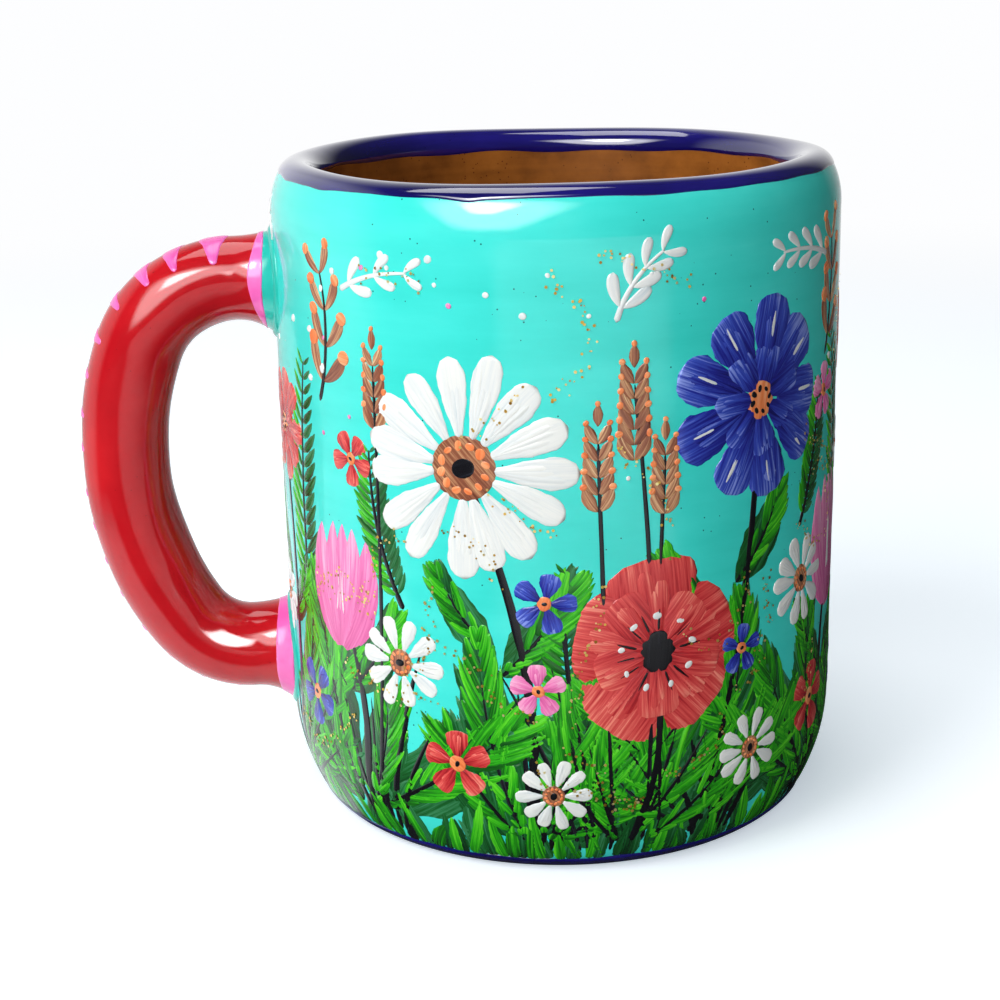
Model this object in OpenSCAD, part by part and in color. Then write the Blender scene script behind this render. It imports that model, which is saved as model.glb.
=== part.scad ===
// Painted clay mug: a thrown cup, a pulled handle joined to it with slip, and the coats on both.
// Millimetres. The origin is the centre of the foot, +Z is up, and the handle points along -X.

/* [Cup] */
// Height over the painted lip
cup_h = 100; // [85:1:125]
// Diameter of the painted wall
cup_d = 86; // [76:1:110]
// Thickness of the clay wall
wall = 6.4; // [5.8:0.1:7.4]
// Thickness of the clay floor
floor_t = 7; // [5:0.5:10]
// Radius of the round between floor and wall inside
floor_round = 8; // [3:0.5:14]

/* [Lip and shoulder] */
// Radius of the round clay lip
lip_r = 2.6; // [2:0.1:2.9]
// Angle by which the shoulder leans in below the lip
shoulder_turn = 30; // [26:1:40]

/* [Heel] */
// Radius of the long curve at the bottom of the wall
heel_r = 30; // [20:1:36]
// Angle by which that curve turns in
heel_turn = 25; // [15:1:30]
// Radius of the foot's edge
foot_edge_r = 6.5; // [4:0.5:8]

/* [Handle] */
// From the top of the lip down to the middle of the upper root
handle_drop = 17.6; // [17:0.2:26]
// From the table up to the middle of the lower root
handle_low_z = 23.2; // [22.6:0.2:28]
// How far the long side of the loop stands out past the wider of its bends
side_bulge = 1.9; // [0.6:0.1:8]
// Thickness of the painted handle
handle_d = 13.4; // [11:0.2:15]
// Thickness of the painted handle at its upper root, where it is thinner
handle_top_d = 12.4; // [10:0.2:13.4]
// Radius of the upper bend, along the middle of the handle
top_bend_r = 16.4; // [12:0.2:20]
// Radius of the lower bend
low_bend_r = 12.8; // [9:0.2:18]
// Straight length of each root, from the slip to the bend
root_len = 5.5; // [4.4:0.1:6.4]
// How far each root flares out to meet the wall
flare = 1.4; // [0.6:0.1:2]
// Share by which the flares are fuller below than above
flare_drop = 0.4; // [0:0.05:0.8]

/* [Slip joints] */
// Thickness of the slip between handle and wall
slip_t = 0.8; // [0.5:0.1:1.5]
// How far the slip is squeezed out past the handle's flare
slip_squeeze = 0.9; // [0.4:0.1:1.4]

/* [Coats] */
// Thickness of a coat of paint or glaze
coat = 0.3; // [0.2:0.05:0.5]
// How far the rim band comes down outside
rim_out = 1.8; // [1.2:0.1:5]
// How far the rim band comes down inside
rim_in = 3.5; // [3:0.1:12]
// Height of the foot band's upper edge
foot_band_top = 2.6; // [1.5:0.1:4]
// Bare clay between the foot band and the table
foot_bare = 0.5; // [0.4:0.1:1]

/* [Handle paint] */
// Width of each collar along the handle
collar_w = 2.4; // [2:0.1:3.8]
// Number of strokes across the back of the handle
stroke_count = 16; // [8:1:20]
// Width of a stroke at the middle of the back
stroke_w = 4; // [2:0.1:4.6]
// Angle that a stroke reaches to each side of its middle
stroke_reach = 62; // [40:1:75]
// Angle by which the strokes have drifted round to one side by the lower root
stroke_drift = 50; // [0:1:60]
// Thickness of a stroke of paint
stroke_t = 0.2; // [0.15:0.05:0.4]

/* [Hidden] */
$fn = 96;
// Steps along one round stretch of the cup's section
arc_steps = 12;
// Sides of the handle's section, and steps along each root, each bend and from tip to tip of a stroke
sides = 32;
root_steps = 5;
bend_steps = 10;
stroke_steps = 8;
// Width at which a stroke's tip ends
stroke_tip = 0.2;
// How soon the strokes drift: 1 is evenly along the handle, and more is sooner after the upper root
drift_power = 4;
// How far the handle's ends reach into the wall before they are cut to its curve
root_sink = 1.2;

// Clay sizes, under the coats
clay_r = cup_d / 2 - coat;
clay_top = cup_h - coat;
bore_r = clay_r - wall;

// Centres of the section's round stretches, as [radius, height]
lip_c = [bore_r + lip_r, clay_top - lip_r];
shoulder_r = (wall - lip_r * (1 + cos(shoulder_turn))) / (1 - cos(shoulder_turn));
shoulder_c = lip_c - (shoulder_r - lip_r) * along(shoulder_turn);
foot_c = [clay_r - heel_r + (heel_r - foot_edge_r) * cos(heel_turn), foot_edge_r];
heel_c = foot_c - (heel_r - foot_edge_r) * along(-heel_turn);
floor_c = [bore_r - floor_round, floor_t + floor_round];

// The handle's middle line: two straight roots and two bends, with a long bend that touches both.
// Points are [distance from the cup's axis, height].
handle_r = handle_d / 2;
handle_top_r = handle_top_d / 2;
handle_top_z = cup_h - handle_drop;
root_start = clay_r + slip_t;
root_end = root_start + root_len;
bend_out = max(top_bend_r, low_bend_r) + side_bulge;
reach = root_end + bend_out;
top_c = [root_end, handle_top_z - top_bend_r];
low_c = [root_end, handle_low_z + low_bend_r];
bend_rise = top_c[1] - low_c[1];
bend_more = low_bend_r - top_bend_r;
rise_term = bend_rise ^ 2 + low_bend_r ^ 2 - top_bend_r ^ 2;
half_sum = 2 * rise_term * bend_more + 4 * bend_rise ^ 2 * (bend_out - low_bend_r);
product = rise_term ^ 2 + 4 * bend_rise ^ 2 * (bend_out ^ 2 - low_bend_r ^ 2);
side_bend_r = product / (half_sum + sqrt(half_sum ^ 2 - 4 * bend_more ^ 2 * product));
side_c = [reach - side_bend_r, low_c[1] + (rise_term - 2 * bend_more * side_bend_r) / (2 * bend_rise)];
top_angle = asin((top_c[1] - side_c[1]) / (side_bend_r - top_bend_r));
low_angle = asin((low_c[1] - side_c[1]) / (side_bend_r - low_bend_r));

// Radius of the hollow curve by which a root flares, the place where its collar ends, and the place
// inside the wall where its surface is drawn from
flare_r = (root_len ^ 2 + flare ^ 2) / (2 * flare);
collar_end = root_start + collar_w;
root_sunk = root_start - root_sink;

// Lengths along the back of the three bends, over which the strokes are spread evenly
back_top = arc_length(90 - top_angle, top_bend_r + handle_r);
back_side = arc_length(top_angle - low_angle, side_bend_r + handle_r);
back_low = arc_length(90 + low_angle, low_bend_r + handle_r);
back_length = back_top + back_side + back_low;
stroke_pitch = back_length / stroke_count;

function along(angle) = [cos(angle), sin(angle)];
function arc_length(angle, r) = angle * PI / 180 * r;
function arc_angle(length, r) = length / r * 180 / PI;

// Points of an arc; last leaves out the end point where the next arc begins there
function arc(centre, r, from, to, last = arc_steps) =
    [for (i = [0 : last]) centre + r * along(from + (to - from) * i / arc_steps)];

// Half of the cup's section, with every surface moved out by grow
module cup_section(grow = 0) {
    polygon(concat(
        [[0, -grow]],
        arc(foot_c, foot_edge_r + grow, -90, -heel_turn, arc_steps - 1),
        arc(heel_c, heel_r + grow, -heel_turn, 0),
        arc(shoulder_c, shoulder_r + grow, 0, shoulder_turn, arc_steps - 1),
        arc(lip_c, lip_r + grow, shoulder_turn, 180),
        arc(floor_c, floor_round - grow, 0, -90),
        [[0, floor_t + grow]]
    ));
}

// The coat on the cup's section, where it lies inside the outline given
module cup_coat() {
    rotate_extrude()
        intersection() {
            difference() {
                cup_section(coat);
                cup_section();
            }
            children();
        }
}

// An upright outline for a coat, between two radii and two heights
module window(r_low, r_high, z_low, z_high) {
    translate([r_low, z_low])
        square([r_high - r_low, z_high - z_low]);
}

// Stations along the handle: [distance from the cup's axis, height, direction of the back]
function bend_run(centre, r, from, to) =
    [for (i = [1 : bend_steps])
        let (angle = from + (to - from) * i / bend_steps, p = centre + r * along(angle))
        [p[0], p[1], angle]];
function root_run(z, direction, from, to) =
    [for (i = [0 : root_steps]) [from + (to - from) * i / root_steps, z, direction]];
function without_first(list) = [for (i = [1 : len(list) - 1]) list[i]];
function coat_run() = concat(
    root_run(handle_top_z, 90, collar_end, root_end),
    bend_run(top_c, top_bend_r, 90, top_angle),
    bend_run(side_c, side_bend_r, top_angle, low_angle),
    bend_run(low_c, low_bend_r, low_angle, -90),
    without_first(root_run(handle_low_z, -90, root_end, collar_end))
);
function clay_run() = concat(
    root_run(handle_top_z, 90, root_sunk, collar_end),
    without_first(coat_run()),
    without_first(root_run(handle_low_z, -90, collar_end, root_sunk))
);

// The station at a length along the back, counted from the upper root
function back_station(length) =
    let (
        on_top = length < back_top,
        on_side = length < back_top + back_side,
        centre = on_top ? top_c : on_side ? side_c : low_c,
        r = on_top ? top_bend_r : on_side ? side_bend_r : low_bend_r,
        from = on_top ? 90 : on_side ? top_angle : low_angle,
        past = on_top ? length : on_side ? length - back_top : length - back_top - back_side,
        angle = from - arc_angle(past, r + handle_r),
        p = centre + r * along(angle)
    )
    [p[0], p[1], angle];

// Painted radius of the handle, which grows along the upper bend
function handle_radius(angle) =
    let (t = min(1, (90 - angle) / (90 - top_angle)))
    handle_top_r + (handle_r - handle_top_r) * t * t * (3 - 2 * t);

// How far a root has flared at a distance from the cup's axis
function flare_at(distance) =
    distance < root_end ? flare_r - sqrt(flare_r ^ 2 - (root_end - distance) ^ 2) : 0;

// A point over the handle's clay, turned round the section from its back
function on_handle(station, turn, over) =
    let (
        up = cos(turn) * sin(station[2]),
        r = handle_radius(station[2]) - coat + over + flare_at(station[0]) * (1 - flare_drop * up)
    )
    [-station[0] - r * cos(turn) * cos(station[2]), r * sin(turn), station[1] + r * up];

function handle_rings(stations, over) =
    [for (s = stations) for (k = [0 : sides - 1]) on_handle(s, 360 * k / sides, over)];

// Triangles between rings of points, and from the last ring back to the first in a closed loop
function ring_faces(rings, count, closed) =
    [for (i = [0 : closed ? rings - 1 : rings - 2]) for (k = [0 : count - 1])
        let (
            a = i * count + k,
            b = i * count + (k + 1) % count,
            on = ((i + 1) % rings - i) * count
        )
        each [[a, a + on, b], [b, a + on, b + on]]];

// A solid through rings of points: closed by flat ends, or a tube's wall where the rings come back round
module loft(points, count, closed = false) {
    rings = len(points) / count;
    last = (rings - 1) * count;
    ends = [[for (k = [0 : count - 1]) k], [for (k = [count - 1 : -1 : 0]) last + k]];
    polyhedron(points, concat(ring_faces(rings, count, closed), closed ? [] : ends));
}

// A coat on the handle's clay along its stations
module handle_sleeve(stations) {
    back = [for (i = [len(stations) - 1 : -1 : 0]) stations[i]];
    loft(concat(handle_rings(stations, coat), handle_rings(back, 0)), sides, true);
}

// The round plug that the slip at a root fills, through the wall
module slip_plug(z, root_r) {
    translate([0, 0, z - flare * flare_drop])
        rotate([0, -90, 0])
            cylinder(r = root_r + flare + slip_squeeze, h = cup_d);
}

module slip_joint(z, root_r) {
    color("#35b5a5")
        difference() {
            intersection() {
                slip_plug(z, root_r);
                cylinder(r = root_start, h = cup_h);
            }
            cylinder(r = clay_r - wall / 2, h = cup_h);
            cup();
        }
}

module collar(stations) {
    color("#f56ebe")
        difference() {
            handle_sleeve(stations);
            cylinder(r = root_start, h = cup_h);
        }
}

// One stroke across the back, at a length along it: widest in the middle, with a narrow tip on each side
module stroke(length) {
    rows = [for (i = [0 : stroke_steps]) 2 * i / stroke_steps - 1];
    loft([for (t = rows)
        let (
            half = stroke_tip / 2 + (stroke_w - stroke_tip) / 2 * (1 - abs(t)),
            before = back_station(length - half),
            after = back_station(length + half),
            turn = t * stroke_reach + stroke_drift * (1 - (1 - length / back_length) ^ drift_power)
        )
        each [
            on_handle(before, turn, coat),
            on_handle(after, turn, coat),
            on_handle(after, turn, coat + stroke_t),
            on_handle(before, turn, coat + stroke_t)
        ]], 4);
}

module cup() {
    color("#b5683c")
        rotate_extrude()
            cup_section();
}

module handle() {
    color("#b5683c")
        difference() {
            loft(handle_rings(clay_run(), 0), sides);
            cylinder(r = root_start, h = cup_h);
        }
}

module upper_slip_joint() {
    slip_joint(handle_top_z, handle_top_r);
}

module lower_slip_joint() {
    slip_joint(handle_low_z, handle_r);
}

module liner_glaze() {
    color("#8a5424")
        cup_coat()
            window(0, lip_c[0], floor_t, cup_h - rim_in);
}

module ground_coat() {
    color("#40d6c4")
        difference() {
            cup_coat()
                window(lip_c[0], cup_d, foot_band_top, cup_h - rim_out);
            slip_plug(handle_top_z, handle_top_r);
            slip_plug(handle_low_z, handle_r);
        }
}

module rim_band() {
    color("#1b1669")
        cup_coat()
            polygon([
                [0, cup_h - rim_in],
                [lip_c[0], cup_h - rim_in],
                [lip_c[0], cup_h - rim_out],
                [cup_d, cup_h - rim_out],
                [cup_d, cup_h],
                [0, cup_h]
            ]);
}

module foot_band() {
    color("#1b1669")
        cup_coat()
            window(foot_c[0], cup_d, foot_bare, foot_band_top);
}

module handle_coat() {
    color("#d2232d")
        handle_sleeve(coat_run());
}

module upper_collar() {
    collar(root_run(handle_top_z, 90, root_sunk, collar_end));
}

module lower_collar() {
    collar(root_run(handle_low_z, -90, collar_end, root_sunk));
}

module handle_strokes() {
    color("#f56ebe")
        for (i = [0 : stroke_count - 1])
            stroke((i + 0.5) * stroke_pitch);
}

cup();
handle();
upper_slip_joint();
lower_slip_joint();
liner_glaze();
ground_coat();
rim_band();
foot_band();
handle_coat();
upper_collar();
lower_collar();
handle_strokes();
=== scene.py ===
"""Dresses the packed clay mug: clay, slip, paint, glaze, and a painted flower garden round the wall."""
import bpy
import math
import random
import numpy as np
from mathutils import Matrix

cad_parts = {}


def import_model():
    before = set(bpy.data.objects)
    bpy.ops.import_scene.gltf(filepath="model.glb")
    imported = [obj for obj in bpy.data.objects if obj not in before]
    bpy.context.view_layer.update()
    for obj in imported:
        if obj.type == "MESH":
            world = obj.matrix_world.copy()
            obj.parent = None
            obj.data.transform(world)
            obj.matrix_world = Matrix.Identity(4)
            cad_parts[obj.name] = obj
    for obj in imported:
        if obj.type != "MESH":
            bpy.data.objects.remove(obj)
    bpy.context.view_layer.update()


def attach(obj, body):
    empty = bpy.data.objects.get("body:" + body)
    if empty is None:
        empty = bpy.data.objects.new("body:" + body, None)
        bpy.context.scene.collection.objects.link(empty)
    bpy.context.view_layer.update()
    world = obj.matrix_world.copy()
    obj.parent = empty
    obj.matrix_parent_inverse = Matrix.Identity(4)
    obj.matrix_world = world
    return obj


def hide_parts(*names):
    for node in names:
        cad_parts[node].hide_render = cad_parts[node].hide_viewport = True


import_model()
MM = 0.001
TAU = 2 * math.pi
QUARTER = math.pi / 2
RNG = random.Random(11)
between = RNG.uniform

# Sizes in millimetres, turns in degrees, as in the part's source
CUP_H = 100.0
CUP_R = 43.0
WALL = 6.4
COAT = 0.3
FLOOR_T = 7.0
FLOOR_ROUND = 8.0
LIP_R = 2.6
SHOULDER_TURN = 30.0
HEEL_R = 30.0
HEEL_TURN = 25.0
FOOT_EDGE_R = 6.5
TOP_Z = 82.4
LOW_Z = 23.2
HANDLE_R = 6.7
HANDLE_TOP_R = 6.2
TOP_BEND = 16.4
LOW_BEND = 12.8
ROOT_LEN = 5.5
SIDE_BULGE = 1.9
FLARE = 1.4
FLARE_DROP = 0.4
SLIP_T = 0.8
ROOT_SINK = 1.2
COLLAR_W = 2.4
STROKES = 16
STROKE_W = 4.0
STROKE_REACH = 62.0
STROKE_DRIFT = 50.0
STROKE_T = 0.2
DRIFT_POWER = 4
RIM_OUT = 1.8
RIM_IN = 3.5
FOOT_BAND_TOP = 2.6
FOOT_BARE = 0.5
CLAY_R = CUP_R - COAT
BORE_R = CLAY_R - WALL

# Spacing of the points on straight and round stretches of the cup's section
LINE_STEP = 0.5
ARC_STEP = 0.2

# How far a coat reaches into what it lies on, and how far one runs on under the next
COAT_SINK = 0.03
FOOT_LAP = 0.6
RIM_LAP = 1.0
LINER_LAP = 1.6
COLLAR_LAP = 1.4

# How much thicker than a coat the bands over it are
RIM_OVER = 0.14
FOOT_OVER = 0.3
COLLAR_OVER = 0.1

# Points round the handle, and the width of the soft edges of its coats
HANDLE_AROUND = 80
SLEEVE_EDGE = 0.35

# Share of each stroke's height that is left once the paint on the wall has dried
PAINT_RELIEF = 0.4

# How far a stroke's edge dips under its surface, and how high the brush's ridges in it are
EDGE_SINK = 0.06
RIDGE = 0.012

# Each stroke lies a step over the one before it, and the steps start again after so many
LAYER_STEP = 0.0015
LAYERS = 40

# Half widths at which strokes, round petals and dots end
POINT = 0.08
PETAL_END = 0.1
DOT_END = 0.03

# Streaks across a millimetre of brushed paint
HAIRS = 2.6


# Meshes

def mesh_object(name, verts, faces, material, attributes=None, smooth=True):
    """An object from points in millimetres."""
    mesh = bpy.data.meshes.new(name)
    mesh.from_pydata((np.asarray(verts) * MM).tolist(), [], faces)
    for key, values in (attributes or {}).items():
        layer = mesh.attributes.new(key, "FLOAT_VECTOR", "POINT")
        layer.data.foreach_set("vector", np.asarray(values, dtype=np.float32).ravel())
    mesh.validate()
    mesh.polygons.foreach_set("use_smooth", [smooth] * len(mesh.polygons))
    mesh.materials.append(material)
    mesh.update()
    obj = bpy.data.objects.new(name, mesh)
    bpy.context.scene.collection.objects.link(obj)
    return obj


def dress(obj, slot, *nodes):
    """Puts a finished piece on the part's one body."""
    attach(obj, "root")
    if nodes:
        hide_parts(*nodes)
    return obj


def grid_faces(rows, cols, first=0, wrap=False):
    """Quads of a grid of points in row order. The last row of a wrapped grid meets its first."""
    faces = []
    for i in range(rows if wrap else rows - 1):
        for j in range(cols - 1):
            a = first + i * cols + j
            b = first + (i + 1) % rows * cols + j
            faces.append((a, b, b + 1, a + 1))
    return faces


def turned(faces):
    """The same faces, looking the other way."""
    return [face[::-1] for face in faces]


def solid(name, points, material, flip=False):
    """A closed body from its points, in rows round a full turn, with flat ends."""
    rows, cols = points.shape[:2]
    faces = grid_faces(rows, cols, wrap=True)
    faces.append([i * cols for i in reversed(range(rows))])
    faces.append([i * cols + cols - 1 for i in range(rows)])
    return mesh_object(name, points.reshape(-1, 3), turned(faces) if flip else faces, material)


def shell(name, outer, inner, material, capped=False, flip=False):
    """A closed coat from its outer and inner points, in rows round a full turn, open or capped."""
    rows, cols = outer.shape[:2]
    n = rows * cols
    faces = grid_faces(rows, cols, wrap=True) + turned(grid_faces(rows, cols, n, wrap=True))
    start = [(i * cols, (i + 1) % rows * cols) for i in range(rows)]
    stop = [(a + cols - 1, b + cols - 1) for a, b in start]
    faces += [(b, a, a + n, b + n) for a, b in start]
    if capped:
        faces += [[a for a, b in stop], [a + n for a, b in reversed(stop)]]
    else:
        faces += [(a, b, b + n, a + n) for a, b in stop]
    verts = np.concatenate([outer.reshape(-1, 3), inner.reshape(-1, 3)])
    return mesh_object(name, verts, turned(faces) if flip else faces, material)


# Curves

def heading(degrees):
    return np.array([math.cos(math.radians(degrees)), math.sin(math.radians(degrees))])


def full_turn(count):
    return np.arange(count) * TAU / count


def eased(count):
    """Shares from 0 to 1, closer together towards both ends."""
    return 0.5 - 0.5 * np.cos(np.linspace(0, math.pi, count))


def rounded(share):
    """A quarter round, from 0 at the edge to 1 where the share is 1 or more."""
    return np.sqrt(1 - (1 - np.clip(share, 0, 1)) ** 2)


def run(points):
    """The length along a line up to each of its points."""
    return np.concatenate([[0], np.cumsum(np.linalg.norm(np.diff(points, axis=0), axis=1))])


def arrays(*values):
    """The values as arrays of one shape."""
    return np.broadcast_arrays(*(np.asarray(value, float) for value in values))


def constant(value):
    return lambda angle: np.full_like(angle, float(value))


def shifted(place, wave):
    return lambda angle: place + wave(angle)


def seeded_wave(seed, terms, size):
    """A smooth closed wave of the angle, between about plus and minus size."""
    r = random.Random(seed)
    gain = 1.6
    parts = [(k, r.uniform(0.4, 1.0) / len(terms), r.uniform(0, TAU)) for k in terms]
    return lambda angle: size * sum(a * np.sin(k * angle + p) for k, a, p in parts) * gain


# The cup's section: the clay's surface from the middle of the foot round the lip to the middle of the floor

def section():
    """Points of the section, their normals, and the length along it up to each."""
    lip_turn = heading(SHOULDER_TURN)
    shoulder_r = (WALL - LIP_R * (1 + lip_turn[0])) / (1 - lip_turn[0])
    lip_c = np.array([BORE_R + LIP_R, CUP_H - COAT - LIP_R])
    shoulder_c = lip_c - (shoulder_r - LIP_R) * lip_turn
    foot_c = np.array([CLAY_R - HEEL_R + (HEEL_R - FOOT_EDGE_R) * heading(HEEL_TURN)[0], FOOT_EDGE_R])
    heel_c = foot_c - (HEEL_R - FOOT_EDGE_R) * heading(-HEEL_TURN)
    floor_c = np.array([BORE_R - FLOOR_ROUND, FLOOR_T + FLOOR_ROUND])
    points, normals = [], []

    def line(p, q, n):
        steps = max(2, int(np.linalg.norm(np.subtract(q, p)) / LINE_STEP))
        for t in np.linspace(0, 1, steps, endpoint=False):
            points.append(np.array(p) * (1 - t) + np.array(q) * t)
            normals.append(np.array(n, float))

    def arc(c, r, a0, a1, hollow=False):
        steps = max(8, int(abs(math.radians(a1 - a0)) * r / ARC_STEP))
        for a in np.linspace(a0, a1, steps, endpoint=False):
            points.append(c + r * heading(a))
            normals.append(-heading(a) if hollow else heading(a))

    line((0.0, 0.0), (foot_c[0], 0.0), (0, -1))
    arc(foot_c, FOOT_EDGE_R, -90, -HEEL_TURN)
    arc(heel_c, HEEL_R, -HEEL_TURN, 0)
    line((CLAY_R, heel_c[1]), (CLAY_R, shoulder_c[1]), (1, 0))
    arc(shoulder_c, shoulder_r, 0, SHOULDER_TURN)
    arc(lip_c, LIP_R, SHOULDER_TURN, 180)
    line((BORE_R, lip_c[1]), (BORE_R, floor_c[1]), (-1, 0))
    arc(floor_c, FLOOR_ROUND, 0, -90, hollow=True)
    line((floor_c[0], FLOOR_T), (0.0, FLOOR_T), (0, 1))
    points.append(np.array([0.0, FLOOR_T]))
    normals.append(np.array([0.0, 1.0]))
    return np.array(points), np.array(normals), run(points)


SEC_P, SEC_N, SEC_L = section()
CREST = int(SEC_P[:, 1].argmax())
FOOT_START = int(np.argmax(SEC_P[:, 1] > 0))

# The clay and the liner end this far from the cup's axis, and a small disc closes them
AXIS_GAP = 1.0
SEC_END = SEC_L[-1] - AXIS_GAP


def outer_at(z):
    """Length along the section at a height on the outside."""
    return np.interp(z, SEC_P[FOOT_START:CREST, 1], SEC_L[FOOT_START:CREST])


def inner_at(z):
    """Length along the section at a height on the inside wall."""
    return np.interp(-z, -SEC_P[CREST:, 1], SEC_L[CREST:])


def hand_thrown(theta, z):
    """How far the wall strays from a true round, and the lip from a true level."""
    up = np.clip((z - 10) / 90, 0, 1)
    radial = up * (0.20 * np.sin(2 * theta + 0.5) + 0.13 * np.sin(3 * theta + 2.2 + 0.012 * z))
    radial = radial + 0.02 * np.sin(0.5 * z + theta) * np.clip(z / 15, 0, 1)
    near_lip = np.clip((z - 80) / 20, 0, 1) ** 2
    rise = near_lip * (0.18 * np.sin(2 * theta + 2.6) + 0.12 * np.sin(5 * theta + 0.4))
    return radial, rise


def cup_point(length, theta, over):
    """Points over the clay at a length along the section and an angle from the handle towards the camera."""
    length, theta, over = arrays(length, theta, over)
    r = np.interp(length, SEC_L, SEC_P[:, 0]) + over * np.interp(length, SEC_L, SEC_N[:, 0])
    z = np.interp(length, SEC_L, SEC_P[:, 1]) + over * np.interp(length, SEC_L, SEC_N[:, 1])
    radial, rise = hand_thrown(theta, z)
    r = r + radial * np.clip(r / 20, 0, 1)
    return np.stack([-r * np.cos(theta), -r * np.sin(theta), z + rise], -1)


# The handle's middle line and surface

def handle_line():
    """Rows of distance from the axis, height and direction of the back, with lengths along line and back."""
    root_start = CLAY_R + SLIP_T - ROOT_SINK
    root_end = CLAY_R + SLIP_T + ROOT_LEN
    out = max(TOP_BEND, LOW_BEND) + SIDE_BULGE
    top_c = np.array([root_end, TOP_Z - TOP_BEND])
    low_c = np.array([root_end, LOW_Z + LOW_BEND])
    rise, more = top_c[1] - low_c[1], LOW_BEND - TOP_BEND
    k = rise ** 2 + LOW_BEND ** 2 - TOP_BEND ** 2
    m = 2 * k * more + 4 * rise ** 2 * (out - LOW_BEND)
    c = k ** 2 + 4 * rise ** 2 * (out ** 2 - LOW_BEND ** 2)
    side_r = c / (m + math.sqrt(m ** 2 - 4 * more ** 2 * c))
    side_c = np.array([root_end + out - side_r, low_c[1] + (k - 2 * more * side_r) / (2 * rise)])
    top_a = math.asin((top_c[1] - side_c[1]) / (side_r - TOP_BEND))
    low_a = math.asin((low_c[1] - side_c[1]) / (side_r - LOW_BEND))
    bends = ((top_c, TOP_BEND, QUARTER, top_a), (side_c, side_r, top_a, low_a),
             (low_c, LOW_BEND, low_a, -QUARTER))
    rows = [(s, TOP_Z, QUARTER) for s in np.linspace(root_start, root_end, 24)]
    for (x, z), r, a0, a1 in bends:
        rows += [(x + r * math.cos(a), z + r * math.sin(a), a) for a in np.linspace(a0, a1, 60)[1:]]
    rows += [(s, LOW_Z, -QUARTER) for s in np.linspace(root_end, root_start, 24)[1:]]
    rows = np.array(rows)
    back = rows[:, :2] + HANDLE_R * np.stack([np.cos(rows[:, 2]), np.sin(rows[:, 2])], -1)
    return rows, run(rows[:, :2]), run(back), top_a, root_end


H_ROWS, H_L, H_BACK, H_TOP_A, H_ROOT_END = handle_line()
H_END = H_L[-1]
H_COLLAR = ROOT_SINK + COLLAR_W


def handle_point(length, turn, over):
    """Points over the handle's clay at a length along its middle line, turned round it from the back."""
    length, turn, over = arrays(length, turn, over)
    s, z, a = (np.interp(length, H_L, H_ROWS[:, k]) for k in range(3))
    t = np.clip((QUARTER - a) / (QUARTER - H_TOP_A), 0, 1)
    r = HANDLE_TOP_R + (HANDLE_R - HANDLE_TOP_R) * t * t * (3 - 2 * t) - COAT + over
    flare_r = (ROOT_LEN ** 2 + FLARE ** 2) / (2 * FLARE)
    near = np.clip(H_ROOT_END - s, 0, None)
    flare = flare_r - np.sqrt(flare_r ** 2 - near ** 2)
    r = r + flare * (1 - FLARE_DROP * np.cos(turn) * np.sin(a))
    r = r + 0.10 * np.sin(0.11 * length + 0.7) + 0.06 * np.sin(0.23 * length + 2 * turn)
    r = r + 0.04 * np.sin(3 * turn + 0.4 * length)
    out = r * np.cos(turn)
    return np.stack([-s - out * np.cos(a), -r * np.sin(turn), z + out * np.sin(a)], -1)


# Coats

def coat(name, surface, start, stop, thick, material, around, steps, edge=0.45, capped=False):
    """A coat between two lengths along the cup or handle, each a function of the angle, with soft edges."""
    angle = full_turn(around)
    l0, l1 = start(angle)[:, None], stop(angle)[:, None]
    length = l0 + (l1 - l0) * eased(steps)[None, :]
    near = np.minimum(length - l0, math.inf if capped else l1 - length)
    outer = surface(length, angle[:, None], thick * rounded(near / edge))
    inner = surface(length, angle[:, None], -COAT_SINK)
    return shell(name, outer, inner, material, capped, flip=surface is handle_point)


def sleeve(name, start, stop, thick, material, steps):
    return coat(name, handle_point, start, stop, thick, material, HANDLE_AROUND, steps, SLEEVE_EDGE)


# Brush strokes: closed ribbons of paint that follow a surface

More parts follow.
